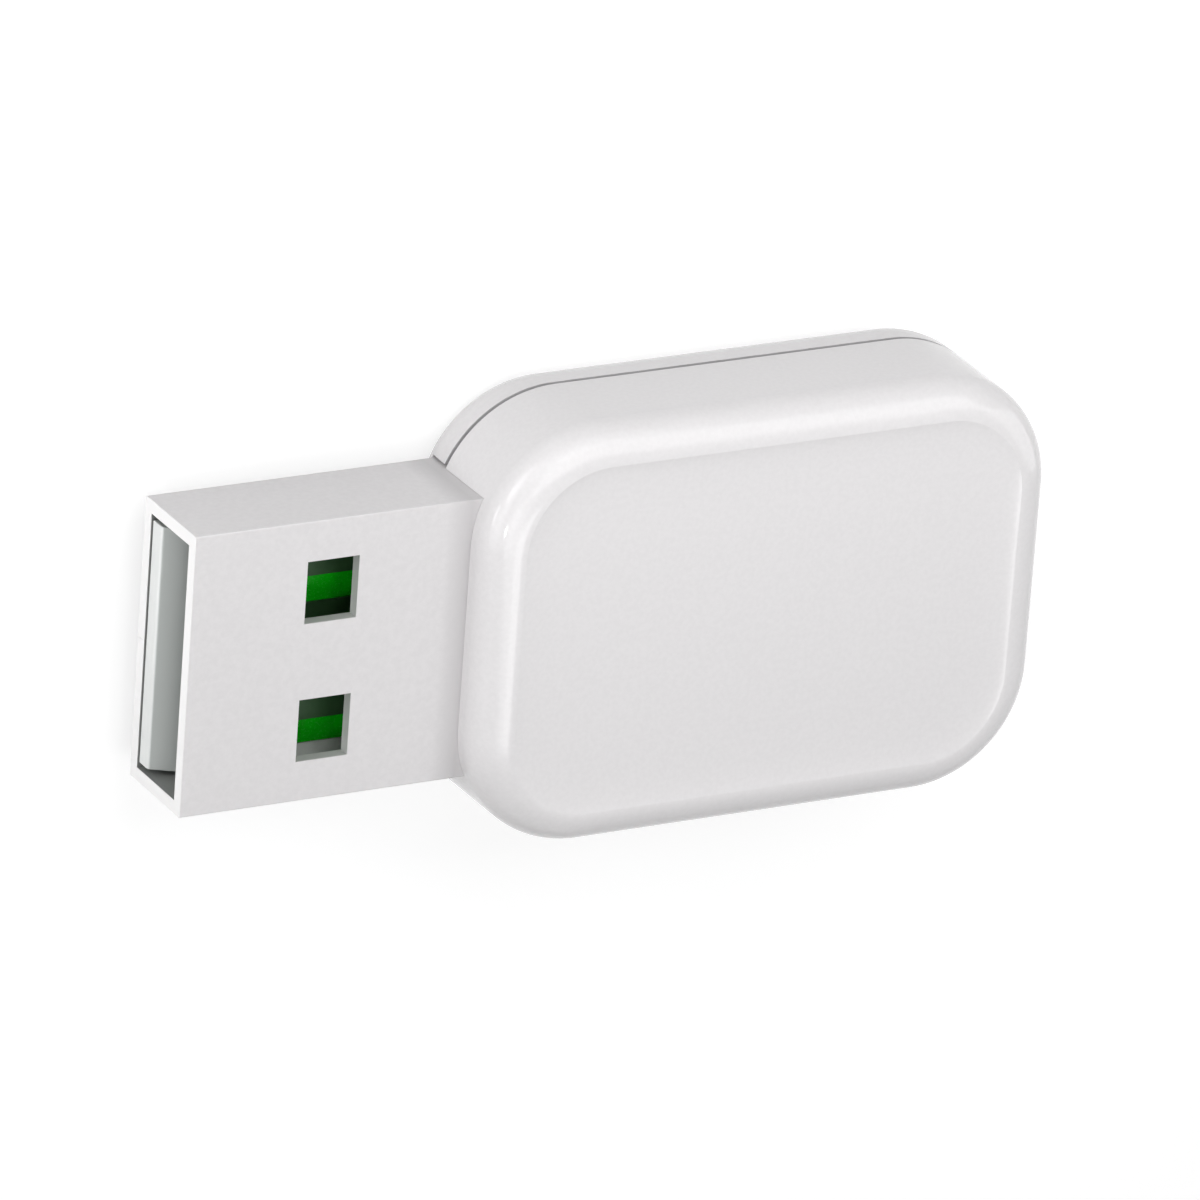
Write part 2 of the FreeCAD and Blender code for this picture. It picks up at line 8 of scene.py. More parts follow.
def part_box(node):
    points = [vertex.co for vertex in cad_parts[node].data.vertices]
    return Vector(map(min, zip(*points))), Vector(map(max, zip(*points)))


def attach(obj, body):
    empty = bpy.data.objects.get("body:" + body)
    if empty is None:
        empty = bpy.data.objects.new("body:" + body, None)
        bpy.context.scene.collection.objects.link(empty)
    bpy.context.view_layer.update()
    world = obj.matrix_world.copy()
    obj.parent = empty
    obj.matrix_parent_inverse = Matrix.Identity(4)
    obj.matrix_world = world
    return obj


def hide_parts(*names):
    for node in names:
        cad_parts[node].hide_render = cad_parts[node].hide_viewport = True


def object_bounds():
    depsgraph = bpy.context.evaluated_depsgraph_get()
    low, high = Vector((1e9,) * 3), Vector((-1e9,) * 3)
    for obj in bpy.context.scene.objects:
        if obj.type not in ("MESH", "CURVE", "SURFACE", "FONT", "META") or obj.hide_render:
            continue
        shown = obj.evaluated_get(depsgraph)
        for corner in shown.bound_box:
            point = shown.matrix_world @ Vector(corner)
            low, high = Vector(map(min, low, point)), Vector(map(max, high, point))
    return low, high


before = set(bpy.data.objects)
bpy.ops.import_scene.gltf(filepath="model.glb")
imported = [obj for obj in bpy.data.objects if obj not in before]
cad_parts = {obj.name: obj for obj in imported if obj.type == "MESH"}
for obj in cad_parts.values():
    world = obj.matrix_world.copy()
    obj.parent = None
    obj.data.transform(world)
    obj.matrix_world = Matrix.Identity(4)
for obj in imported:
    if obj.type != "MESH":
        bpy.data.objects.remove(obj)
cad_low, cad_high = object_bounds()
MM = 0.001

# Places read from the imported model
plug_low, plug_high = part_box("plug_shell")
board_low, board_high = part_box("main_board")
tray_low, tray_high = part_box("tongue_carrier")
MOUTH_X = cad_low.x
END_X = cad_high.x
PLUG_REACH = 12.15 * MM
HOUSING_X = MOUTH_X + PLUG_REACH
HALF_WIDTH = cad_high.y
FRONT_Z = cad_high.z
SEAM_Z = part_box("front_shell")[0].z
LIP_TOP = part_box("back_cover")[1].z
BOARD_TOP = board_high.z
BOARD_BOTTOM = board_low.z
TAIL_X = tray_high.x
PLUG_HALF = plug_high.y
PLUG_MIDDLE_Z = (plug_low.z + plug_high.z) / 2
PLUG_HALF_HEIGHT = (plug_high.z - plug_low.z) / 2

# The housing's moulded forms
CORNER_RADIUS = 5.1 * MM
FRONT_FILLET = 1.5 * MM
BACK_FILLET = 1.75 * MM
DRAFT = math.radians(0.5)
WALL = 1.2 * MM
ROOF_Z = FRONT_Z - 1.3 * MM
FLOOR_Z = 1.2 * MM
GROOVE_HEIGHT = 0.2 * MM
GROOVE_DEPTH = 0.35 * MM
LIP_INSET = 1.3 * MM
LIP_THICKNESS = 0.8 * MM
RIB = 0.8 * MM
POST = 1.8 * MM
PIN = 1.0 * MM
PIN_HEIGHT = 1.4 * MM
PIN_GAP = 0.1 * MM
GUIDE_GAP = 0.1 * MM
STOP_GAP = 0.05 * MM
STOP_LENGTH = 3.0 * MM
STOP_ABOVE_BOARD = 0.5 * MM
BACK_BORDER = 0.3 * MM
FIT = 0.01 * MM
COVER_GAP = 0.12 * MM
CORNER_STEPS = 28
FILLET_STEPS = 20
POST_SIDES = 32
DISH_DEPTH = 0.17 * MM
DISH_FADE = 0.7 * MM
DISH_WIDTH = 3.0 * MM
DISH_RINGS = 16
RING_SPREAD = 1.5

# The plug's sheet, windows and seam
SHEET = 0.55 * MM
FOLD_RADIUS = 0.06 * MM
WINDOW_FROM_MOUTH = 5.0 * MM
WINDOW_LENGTH = 2.28 * MM
WINDOW_WIDTH = 2.66 * MM
WINDOW_SPACING = 5.92 * MM
SLIT = 0.012 * MM
DOVETAIL_FROM_MOUTH = 8.6 * MM
DOVETAIL_LENGTH = 1.6 * MM
DOVETAIL_DEPTH = 1.0 * MM
DOVETAIL_FLARE = 0.3 * MM
TAB_LENGTH = 2.2 * MM
TAB_GAP = 0.15 * MM
TAB_BELOW_BOARD = 0.5 * MM
TAB_ABOVE_BOARD = 0.4 * MM
CUT_EDGE = 0.03 * MM
CUT_STEPS = 2
FOLD_STEPS = 6

# The tray and the contacts on it
RAMP_LENGTH = 1.5 * MM
RAMP_DEPTH = 0.84 * MM
NOSE_RADIUS = 0.14 * MM
TRAY_SIDE_GAP = 0.25 * MM
TRAY_HALF = PLUG_HALF - SHEET - TRAY_SIDE_GAP
RAIL = 0.6 * MM
NOSE_LENGTH = 2.0 * MM
NOSE_STEPS = 8
CONTACT_EDGE = 0.02 * MM
CONTACT_STEPS = 10
ROUND_END = 0.499  # of a contact's width, just under half

# For cutting and comparing, and for shading by angles in degrees
OVERCUT = 1.0 * MM
TINY = 0.001 * MM
WELD = TINY / 10
FACE_WEIGHT = 100
MOULDED_ANGLE = 32
SHEET_ANGLE = 40
CUT_ANGLE = 50


def select_nothing():
    """Leave edit mode and deselect everything."""
    if bpy.context.mode != "OBJECT":
        bpy.ops.object.mode_set(mode="OBJECT")
    bpy.ops.object.select_all(action="DESELECT")


def take(piece):
    """Make one piece the only selected and the active object."""
    select_nothing()
    piece.select_set(True)
    bpy.context.view_layer.objects.active = piece


def middle(item):
    """The middle of an edge or a face."""
    return sum((vert.co for vert in item.verts), Vector()) / len(item.verts)


def choose(piece, kind, test):
    """In edit mode, select the vertices, edges or faces that pass a test."""
    if bpy.context.mode != "EDIT_MESH":
        take(piece)
        bpy.ops.object.mode_set(mode="EDIT")
    bpy.ops.mesh.select_mode(type=kind)
    bpy.ops.mesh.select_all(action="DESELECT")
    shape = bmesh.from_edit_mesh(piece.data)
    items = {"VERT": shape.verts, "EDGE": shape.edges, "FACE": shape.faces}[kind]
    for item in items:
        if test(item):
            item.select_set(True)
    shape.select_flush_mode()
    bmesh.update_edit_mesh(piece.data)


def settle(name):
    """Name the primitive just added and put its place in its mesh."""
    piece = bpy.context.active_object
    piece.name = name
    piece.data.name = name
    bpy.ops.object.transform_apply(location=True, rotation=True, scale=True)
    return piece


def add_block(name, low, high):
    """A block between two corners."""
    select_nothing()
    low, high = Vector(low), Vector(high)
    bpy.ops.mesh.primitive_cube_add(size=1, location=(low + high) / 2, scale=high - low)
    return settle(name)


def add_post(name, x, y, diameter, z0, z1):
    """An upright round post."""
    select_nothing()
    bpy.ops.mesh.primitive_cylinder_add(vertices=POST_SIDES, radius=diameter / 2, depth=z1 - z0,
                                        location=(x, y, (z0 + z1) / 2))
    return settle(name)


def add_change(piece, kind):
    """Add a modifier to a piece."""
    take(piece)
    bpy.ops.object.modifier_add(type=kind)
    return piece.modifiers[-1]


def apply_boolean(piece, tool, operation):
    """Cut a tool from a piece or merge it into the piece, and delete the tool."""
    change = add_change(piece, "BOOLEAN")
    change.operation = operation
    change.solver = "EXACT"
    change.object = tool
    bpy.ops.object.modifier_apply(modifier=change.name)
    bpy.data.objects.remove(tool, do_unlink=True)


def cut(piece, tool):
    """Cut a tool from a piece."""
    apply_boolean(piece, tool, "DIFFERENCE")


def merge(piece, tool):
    """Merge a tool into a piece."""
    apply_boolean(piece, tool, "UNION")


def soften_edges(piece, width):
    """Break a piece's sharp edges with a small round."""
    change = add_change(piece, "BEVEL")
    change.width = width
    change.segments = CUT_STEPS
    change.limit_method = "ANGLE"
    change.angle_limit = math.radians(CUT_ANGLE)
    change.use_clamp_overlap = True
    bpy.ops.object.modifier_apply(modifier=change.name)


def finish_shading(piece, angle=MOULDED_ANGLE):
    """Smooth shading that keeps flat faces flat and corners crisp."""
    take(piece)
    bpy.ops.object.mode_set(mode="EDIT")
    bpy.ops.mesh.select_all(action="SELECT")
    bpy.ops.mesh.remove_doubles(threshold=WELD)
    bpy.ops.mesh.normals_make_consistent(inside=False)
    bpy.ops.object.mode_set(mode="OBJECT")
    bpy.ops.object.shade_smooth_by_angle(angle=math.radians(angle))
    change = add_change(piece, "WEIGHTED_NORMAL")
    change.keep_sharp = True
    change.weight = FACE_WEIGHT
    bpy.ops.object.modifier_apply(modifier=change.name)


def install(piece, nodes, material):
    """Put a finished piece in the place of its nodes."""
    piece.data.materials.clear()
    piece.data.materials.append(material)
    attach(piece, "root")
    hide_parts(*nodes)


def is_upright(edge):
    """Whether an edge runs straight up."""
    run = edge.verts[0].co - edge.verts[1].co
    return abs(run.x) < TINY and abs(run.y) < TINY


def at_level(item, z):
    """Whether an edge or a face lies flat at a height."""
    return all(abs(vert.co.z - z) < TINY for vert in item.verts)


def extrude_up(distance):
    """Extrude the selected face, or sink it where the distance is negative."""
    bpy.ops.mesh.extrude_region_move(TRANSFORM_OT_translate={"value": (0, 0, distance)})


def round_selected(radius, steps):
    """Round the selected edges."""
    bpy.ops.mesh.bevel(offset=radius, offset_type="OFFSET", segments=steps, affect="EDGES",
                       clamp_overlap=False)


def sink_dish():
    """Sink the selected face in rings: steep beside the rim, then nearly flat."""
    reach = 0
    depth = 0
    for ring in range(1, DISH_RINGS + 1):
        next_reach = DISH_WIDTH * (ring / DISH_RINGS) ** RING_SPREAD
        next_depth = DISH_DEPTH * (1 - math.exp(-next_reach / DISH_FADE))
        bpy.ops.mesh.inset(thickness=next_reach - reach)
        bpy.ops.transform.translate(value=(0, 0, depth - next_depth))
        reach, depth = next_reach, next_depth


def rounded_block(name, z0, z1):
    """A block on the housing's outline, with round upright corners."""
    piece = add_block(name, (HOUSING_X, -HALF_WIDTH, z0), (END_X, HALF_WIDTH, z1))
    choose(piece, "EDGE", is_upright)
    round_selected(CORNER_RADIUS, CORNER_STEPS)
    return piece


def support_places():
    """The board's supports: place, and whether a pin goes through the board."""
    half = board_high.y
    front_x = TAIL_X + TAB_GAP + TAB_LENGTH + POST
    rear_x = board_high.x - POST
    places = []
    for side in (-1, 1):
        places.append((front_x, side * (half - POST / 2), False))
        places.append((rear_x, side * (half - POST), True))
    return places


def model_front_housing():
    """The deep front half, its rounded front face and the ribs and bosses inside."""
    rim_z = SEAM_Z + GROOVE_HEIGHT
    piece = rounded_block("front_housing", rim_z, FRONT_Z)
    lean = (FRONT_Z - SEAM_Z) * math.tan(DRAFT)
    middle_x = (HOUSING_X + END_X) / 2
    half_length = (END_X - HOUSING_X) / 2
    choose(piece, "VERT", lambda vert: vert.co.z > FRONT_Z - TINY)
    shrink = ((half_length - lean) / half_length, (HALF_WIDTH - lean) / HALF_WIDTH, 1)
    bpy.ops.transform.resize(value=shrink, center_override=(middle_x, 0, FRONT_Z))
    choose(piece, "EDGE", lambda edge: at_level(edge, FRONT_Z))
    round_selected(FRONT_FILLET, FILLET_STEPS)
    soft_below = CORNER_RADIUS - HALF_WIDTH
    choose(piece, "EDGE", lambda edge: at_level(edge, FRONT_Z) and middle(edge).y > soft_below)
    bpy.ops.mesh.mark_sharp()
    choose(piece, "FACE", lambda face: at_level(face, FRONT_Z))
    sink_dish()
    choose(piece, "FACE", lambda face: at_level(face, rim_z))
    bpy.ops.mesh.inset(thickness=GROOVE_DEPTH)
    extrude_up(-GROOVE_HEIGHT)
    bpy.ops.mesh.inset(thickness=WALL - GROOVE_DEPTH)
    extrude_up(ROOF_Z - SEAM_Z)
    take(piece)
    slot_half = PLUG_HALF + FIT
    plug_face = plug_high.z + FIT
    cut(piece, add_block("slot", (HOUSING_X - OVERCUT, -slot_half, SEAM_Z - OVERCUT),
                         (TAIL_X, slot_half, plug_face)))
    inner_half = PLUG_HALF - RIB
    for x in (HOUSING_X + WALL + RIB, TAIL_X - 2 * RIB):
        merge(piece, add_block("saddle", (x, -inner_half, plug_face),
                               (x + RIB, inner_half, ROOF_Z + RIB)))
    stop_x = TAIL_X + STOP_GAP
    for side in (-1, 1):
        y0, y1 = sorted((side * slot_half, side * (slot_half + RIB)))
        merge(piece, add_block("guide", (HOUSING_X + WALL / 2 + RIB, y0, LIP_TOP + GUIDE_GAP),
                               (stop_x, y1, ROOF_Z + RIB)))
        y0, y1 = sorted((side * (slot_half + RIB), side * (slot_half - STOP_LENGTH)))
        merge(piece, add_block("stop", (stop_x, y0, BOARD_TOP + STOP_ABOVE_BOARD),
                               (stop_x + RIB, y1, ROOF_Z + RIB)))
    for x, y, pinned in support_places():
        boss = add_post("boss", x, y, POST, BOARD_TOP, ROOF_Z + RIB)
        if pinned:
            cut(boss, add_post("socket", x, y, PIN + 2 * PIN_GAP, BOARD_TOP - OVERCUT,
                               BOARD_TOP + PIN_HEIGHT + PIN_GAP))
        merge(piece, boss)
    finish_shading(piece)
    return piece


def model_back_housing():
    """The shallow back half: rounded back, lip, board posts and pins."""
    piece = rounded_block("back_housing", 0, SEAM_Z)
    choose(piece, "EDGE", lambda edge: at_level(edge, 0))
    round_selected(BACK_FILLET, FILLET_STEPS)
    choose(piece, "FACE", lambda face: at_level(face, 0))
    bpy.ops.mesh.inset(thickness=BACK_BORDER)
    choose(piece, "FACE", lambda face: at_level(face, SEAM_Z))
    bpy.ops.mesh.inset(thickness=LIP_INSET)
    extrude_up(LIP_TOP - SEAM_Z)
    bpy.ops.mesh.inset(thickness=LIP_THICKNESS)
    extrude_up(FLOOR_Z - LIP_TOP)
    take(piece)
    slot_half = PLUG_HALF + COVER_GAP
    cut(piece, add_block("slot", (HOUSING_X - OVERCUT, -slot_half, plug_low.z - FIT),
                         (TAIL_X, slot_half, LIP_TOP + OVERCUT)))
    inner_half = PLUG_HALF - RIB
    for x in (HOUSING_X + LIP_INSET + LIP_THICKNESS, TAIL_X - 2 * RIB):
        merge(piece, add_block("seat", (x, -inner_half, FLOOR_Z / 2),
                               (x + RIB, inner_half, plug_low.z)))
    for x, y, pinned in support_places():
        merge(piece, add_post("post", x, y, POST, FLOOR_Z / 2, BOARD_BOTTOM))
        if pinned:
            merge(piece, add_post("pin", x, y, PIN, FLOOR_Z, BOARD_TOP + PIN_HEIGHT))
    finish_shading(piece)
    return piece


def add_slit(start, end):
    """A thin upright cutter along one stretch of the closing slit."""
    start, end = Vector((*start, plug_low.z)), Vector((*end, plug_low.z))
    run = end - start
    select_nothing()
    bpy.ops.mesh.primitive_cube_add(size=1, location=(start + end) / 2,
                                    rotation=(0, 0, math.atan2(run.y, run.x)),
                                    scale=(run.length + SLIT, SLIT, 2 * SHEET + OVERCUT / 2))
    return settle("slit")


def model_plug_sleeve():
    """The folded shell: square tube, four latch windows, dovetailed seam, two solder tabs."""
    low = Vector((MOUTH_X, -PLUG_HALF, plug_low.z))
    high = Vector((TAIL_X, PLUG_HALF, plug_high.z))
    piece = add_block("plug_sleeve", low, high)
    choose(piece, "EDGE", lambda edge: abs(edge.verts[0].co.x - edge.verts[1].co.x) > PLUG_REACH)
    round_selected(FOLD_RADIUS, FOLD_STEPS)
    take(piece)
    wall = Vector((0, SHEET, SHEET))
    over = Vector((OVERCUT, 0, 0))
    cut(piece, add_block("hollow", low + wall - over, high - wall + over))
    window_x = MOUTH_X + WINDOW_FROM_MOUTH
    for side in (-1, 1):
        y0 = side * WINDOW_SPACING / 2 - WINDOW_WIDTH / 2
        cut(piece, add_block("window", (window_x, y0, low.z - OVERCUT),
                             (window_x + WINDOW_LENGTH, y0 + WINDOW_WIDTH, high.z + OVERCUT)))
    x0 = MOUTH_X + DOVETAIL_FROM_MOUTH
    x1 = x0 + DOVETAIL_LENGTH
    line = [(MOUTH_X - OVERCUT, 0), (x0, 0), (x0 - DOVETAIL_FLARE, DOVETAIL_DEPTH),
            (x1 + DOVETAIL_FLARE, DOVETAIL_DEPTH), (x1, 0), (TAIL_X + OVERCUT, 0)]
    for start, end in zip(line, line[1:]):
        cut(piece, add_slit(start, end))
    for side in (-1, 1):
        y0, y1 = sorted((side * (PLUG_HALF - SHEET), side * PLUG_HALF))
        merge(piece, add_block("tab", (TAIL_X - SHEET, y0, BOARD_BOTTOM - TAB_BELOW_BOARD),
                               (TAIL_X + TAB_LENGTH, y1, BOARD_TOP + TAB_ABOVE_BOARD)))
    soften_edges(piece, CUT_EDGE)
    finish_shading(piece, SHEET_ANGLE)
    return piece


def model_tongue_tray():
    """The pale tray under the contacts: ramped nose, rails and a wider root."""
    low = Vector((tray_low.x, -TRAY_HALF, tray_low.z))
    high = Vector((TAIL_X, TRAY_HALF, BOARD_TOP))
    nose_z = high.z - RAMP_DEPTH
    piece = add_block("tongue_tray", low, high)
    choose(piece, "FACE", lambda face: True)
    bpy.ops.mesh.bisect(plane_co=(HOUSING_X, 0, 0), plane_no=(1, 0, 0))
    for side in (-1, 1):
        choose(piece, "FACE",
               lambda face: middle(face).y * side > TRAY_HALF - TINY and middle(face).x > HOUSING_X)
        widening = (0, side * (tray_high.y - TRAY_HALF), 0)
        bpy.ops.mesh.extrude_region_move(TRANSFORM_OT_translate={"value": widening})
    choose(piece, "FACE", lambda face: True)
    ramp_normal = Vector((-RAMP_DEPTH, 0, RAMP_LENGTH)).normalized()
    bpy.ops.mesh.bisect(plane_co=(low.x, 0, nose_z), plane_no=ramp_normal, use_fill=True,
                        clear_outer=True)
    choose(piece, "EDGE", lambda edge: at_level(edge, nose_z) and middle(edge).x < low.x + TINY)
    round_selected(NOSE_RADIUS, NOSE_STEPS)
    take(piece)
    rail_half = TRAY_HALF - RAIL
    cut(piece, add_block("recess", (MOUTH_X + NOSE_LENGTH, -rail_half, BOARD_BOTTOM),
                         (TAIL_X + OVERCUT, rail_half, BOARD_TOP + OVERCUT)))
    soften_edges(piece, CUT_EDGE)
    finish_shading(piece, SHEET_ANGLE)
    return piece


def model_contact(name, node):
    """A contact: a plate with a round front end and softened edges."""
    low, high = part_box(node)
    piece = add_block(name, low, high)
    choose(piece, "EDGE", lambda edge: is_upright(edge) and middle(edge).x < low.x + TINY)
    round_selected((high.y - low.y) * ROUND_END, CONTACT_STEPS)
    take(piece)
    soften_edges(piece, CONTACT_EDGE)
    finish_shading(piece, SHEET_ANGLE)
    return piece


# What the materials use: reaches, and where noise and turns start and stop to count
SHARP = 0.01 * MM
COAT = 0.05 * MM
SHADE_REACH = 1.1 * MM
RAMP_FADE = 0.2 * MM
END_HALF = 0.04 * MM
END_FADE = 0.05 * MM
CORE_HALF = 0.3  # of a chip's length
LEAD_REACH = 0.6 * MM
ROW_PITCH = 1.3 * MM
CLOUD_RANGE = (0.35, 0.65)
CLOUD_DETAIL = 5
GRAIN_RANGE = (0.3, 0.7)
GRAIN_DETAIL = 3
TURN_RANGE = (0.995, 0.85)
TURN_SAMPLES = 6
PATCH_RANGE = (0.35, 0.6)
PATCH_SCALE = 1800
PATCH_DETAIL = 4
ALONG = {"X": (1, 0, 0), "Y": (0, 1, 0), "Z": (0, 0, 1)}
ONCE = 1.0
COLOUR = "NodeSocketColor"
NUMBER = "NodeSocketFloat"
DIRECTION = "NodeSocketVector"


def feed(tree, value, socket):
    """Give a socket a plain value or another node's output."""
    if isinstance(value, bpy.types.NodeSocket):
        tree.links.new(value, socket)
    else:
        socket.default_value = value


def add_math(tree, operation, *values):
    """One sum on numbers and outputs."""
    node = tree.nodes.new("ShaderNodeMath")
    node.operation = operation
    for value, socket in zip(values, node.inputs):
        feed(tree, value, socket)
    return node.outputs["Value"]


def add_dot(tree, first, second):
    """How far one direction runs along another."""
    node = tree.nodes.new("ShaderNodeVectorMath")
    node.operation = "DOT_PRODUCT"
    feed(tree, first, node.inputs[0])
    feed(tree, second, node.inputs[1])
    return node.outputs["Value"]


def add_range(tree, value, start, stop, low=0, high=1):
    """A value's way from start to stop, turned into the way from low to high."""
    node = tree.nodes.new("ShaderNodeMapRange")
    feed(tree, value, node.inputs["Value"])
    feed(tree, start, node.inputs["From Min"])
    feed(tree, stop, node.inputs["From Max"])
    feed(tree, low, node.inputs["To Min"])
    feed(tree, high, node.inputs["To Max"])
    return node.outputs["Result"]


def add_blend(tree, share, first, second):
    """Two colours mixed by a share."""
    node = tree.nodes.new("ShaderNodeMix")
    node.data_type = "RGBA"
    feed(tree, share, node.inputs["Factor"])
    feed(tree, first, node.inputs["A"])
    feed(tree, second, node.inputs["B"])
    return node.outputs["Result"]


def own_place(tree):
    """A surface's place on its own piece."""
    return tree.nodes.new("ShaderNodeTexCoord").outputs["Object"]


def add_noise(tree, scale, detail):
    """Noise from a surface's place on its own piece."""
    node = tree.nodes.new("ShaderNodeTexNoise")
    feed(tree, own_place(tree), node.inputs["Vector"])
    feed(tree, scale, node.inputs["Scale"])
    feed(tree, detail, node.inputs["Detail"])
    return node.outputs["Fac"]


def start_group(name, inputs, outputs):
    """A shader node group with its named sockets, and its two ends."""
    group = bpy.data.node_groups.new(name, "ShaderNodeTree")
    for end, sockets in (("INPUT", inputs), ("OUTPUT", outputs)):
        for socket_name, kind in sockets.items():
            group.interface.new_socket(name=socket_name, in_out=end, socket_type=kind)
    given = group.nodes.new("NodeGroupInput").outputs
    result = group.nodes.new("NodeGroupOutput").inputs
    return group, given, result


def build_moulded_group():
    """Cloudy colour, uneven roughness and a fine raised grain."""
    group, given, result = start_group(
        "Moulded Skin",
        {"Colour": COLOUR, "Cloud Colour": COLOUR, "Cloud Scale": NUMBER, "Grain Scale": NUMBER,
         "Roughness Low": NUMBER, "Roughness High": NUMBER},
        {"Colour": COLOUR, "Roughness": NUMBER, "Height": NUMBER})
    cloud = add_range(group, add_noise(group, given["Cloud Scale"], CLOUD_DETAIL), *CLOUD_RANGE)
    grain = add_noise(group, given["Grain Scale"], GRAIN_DETAIL)
    tint = add_blend(group, cloud, given["Colour"], given["Cloud Colour"])
    rough = add_range(group, grain, *GRAIN_RANGE, given["Roughness Low"], given["Roughness High"])
    feed(group, tint, result["Colour"])
    feed(group, rough, result["Roughness"])
    feed(group, grain, result["Height"])
    return group


def build_band_group():
    """Two colours split by the distance from a centre along an axis, once or at a pitch."""
    group, given, result = start_group(
        "Banded Tone",
        {"Inner Colour": COLOUR, "Outer Colour": COLOUR, "Axis": DIRECTION, "Centre": NUMBER,
         "Half Pitch": NUMBER, "Half Width": NUMBER, "Fade": NUMBER},
        {"Colour": COLOUR, "Outer Mask": NUMBER})
    along = add_dot(group, own_place(group), given["Axis"])
    offset = add_math(group, "SUBTRACT", along, given["Centre"])
    start = add_math(group, "MULTIPLY", given["Half Pitch"], -1)
    repeated = add_math(group, "WRAP", offset, given["Half Pitch"], start)
    distance = add_math(group, "ABSOLUTE", repeated)
    far = add_math(group, "ADD", given["Half Width"], given["Fade"])
    outer = add_range(group, distance, given["Half Width"], far)
    tone = add_blend(group, outer, given["Inner Colour"], given["Outer Colour"])
    feed(group, tone, result["Colour"])
    feed(group, outer, result["Outer Mask"])
    return group


def build_edge_wear_and_highlight_group():
    """Edges given another tone, unevenly, found from how far the surface turns nearby: a painted
    highlight on the white parts, worn edges on the others.
    """
    group, given, result = start_group(
        "Edge Wear And Highlight",
        {"Colour": COLOUR, "Edge Colour": COLOUR, "Reach": NUMBER, "Amount": NUMBER},
        {"Colour": COLOUR})
    rounded = group.nodes.new("ShaderNodeBevel")
    rounded.samples = TURN_SAMPLES
    feed(group, given["Reach"], rounded.inputs["Radius"])
    surface = group.nodes.new("ShaderNodeNewGeometry")
    agreement = add_dot(group, rounded.outputs["Normal"], surface.outputs["Normal"])
    turn = add_range(group, agreement, *TURN_RANGE)
    patchiness = add_range(group, add_noise(group, PATCH_SCALE, PATCH_DETAIL), *PATCH_RANGE)
    dose = add_math(group, "MULTIPLY", add_math(group, "MULTIPLY", turn, patchiness), given["Amount"])
    tone = add_blend(group, dose, given["Colour"], given["Edge Colour"])
    feed(group, tone, result["Colour"])
    return group


moulded_group = build_moulded_group()
band_group = build_band_group()
edge_wear_and_highlight_group = build_edge_wear_and_highlight_group()


def colour(red, green, blue):
    """A colour given as it looks on screen, from 0 to 255, as the shader wants it."""
    values = []
    for channel in (red, green, blue):
        share = channel / 255
        values.append(share / 12.92 if share <= 0.04045 else ((share + 0.055) / 1.055) ** 2.4)
    return (*values, 1.0)


def shader_input(material, name):
    """A socket of a material's own shader."""
    return material.node_tree.nodes["Principled BSDF"].inputs[name]


def place_group(material, group, values):
    """Place a shared group in a material, with its own values."""
    node = material.node_tree.nodes.new("ShaderNodeGroup")
    node.node_tree = group
    for name, value in values.items():
        feed(material.node_tree, value, node.inputs[name])
    return node


def lay_over(material, node, under):
    """Lead a material's colour so far through a node, into the named socket."""
    base = shader_input(material, "Base Color")
    feed(material.node_tree, base.links[0].from_socket, node.inputs[under])
    feed(material.node_tree, node.outputs["Colour"], base)


def make_material(name, base, cloud, cloud_scale, grain_scale, rough, bump, metallic=0.0):
    """A finish with a cloudy colour, uneven roughness and fine grain."""
    material = bpy.data.materials.new(name)
    material.use_nodes = True
    tree = material.node_tree
    skin = place_group(material, moulded_group, {
        "Colour": base, "Cloud Colour": cloud, "Cloud Scale": cloud_scale,
        "Grain Scale": grain_scale, "Roughness Low": rough[0], "Roughness High": rough[1]})
    relief = tree.nodes.new("ShaderNodeBump")
    feed(tree, 1.0, relief.inputs["Strength"])
    feed(tree, bump, relief.inputs["Distance"])
    feed(tree, skin.outputs["Height"], relief.inputs["Height"])
    feed(tree, skin.outputs["Colour"], shader_input(material, "Base Color"))
    feed(tree, skin.outputs["Roughness"], shader_input(material, "Roughness"))
    feed(tree, relief.outputs["Normal"], shader_input(material, "Normal"))
    feed(tree, metallic, shader_input(material, "Metallic"))
    return material


def add_band(material, axis, centre, half_width, fade, pitch=ONCE):
    """A band of another tone in a material; the caller gives its inner or outer colour."""
    return place_group(material, band_group, {
        "Axis": ALONG[axis], "Centre": centre, "Half Pitch": pitch / 2,
        "Half Width": half_width, "Fade": fade})


def tint_band(material, tone, axis, centre, half_width, fade):
    """Give the stretch of a surface around one place on an axis another tone; here it paints only
    light and shade.
    """
    band = add_band(material, axis, centre, half_width, fade)
    feed(material.node_tree, tone, band.inputs["Inner Colour"])
    lay_over(material, band, "Outer Colour")


def tin_outside(material, axis, centre, half_width, pitch=ONCE):
    """Bare tinned metal beyond a distance along an axis: end caps, leads or a lid."""
    band = add_band(material, axis, centre, half_width, SHARP, pitch)
    feed(material.node_tree, TIN, band.inputs["Outer Colour"])
    feed(material.node_tree, band.outputs["Outer Mask"], shader_input(material, "Metallic"))
    lay_over(material, band, "Inner Colour")


def paint_edge_wear_and_highlight(material, tone, reach, amount):
    """Give a material's edges another tone: a painted highlight on the white parts, worn edges on
    the others.
    """
    edge_tone = place_group(material, edge_wear_and_highlight_group, {
        "Edge Colour": tone, "Reach": reach, "Amount": amount})
    lay_over(material, edge_tone, "Colour")


# Tones of the small parts: each one and its cloud
TIN = colour(206, 208, 210)
TAN = (colour(150, 122, 96), colour(136, 110, 86))
DARK = (colour(44, 44, 48), colour(36, 36, 40))
GREY = (colour(96, 98, 104), colour(84, 86, 92))
BLUE_GREEN = (colour(62, 112, 70), colour(52, 98, 60))
PALE = (colour(228, 226, 218), colour(218, 216, 206))


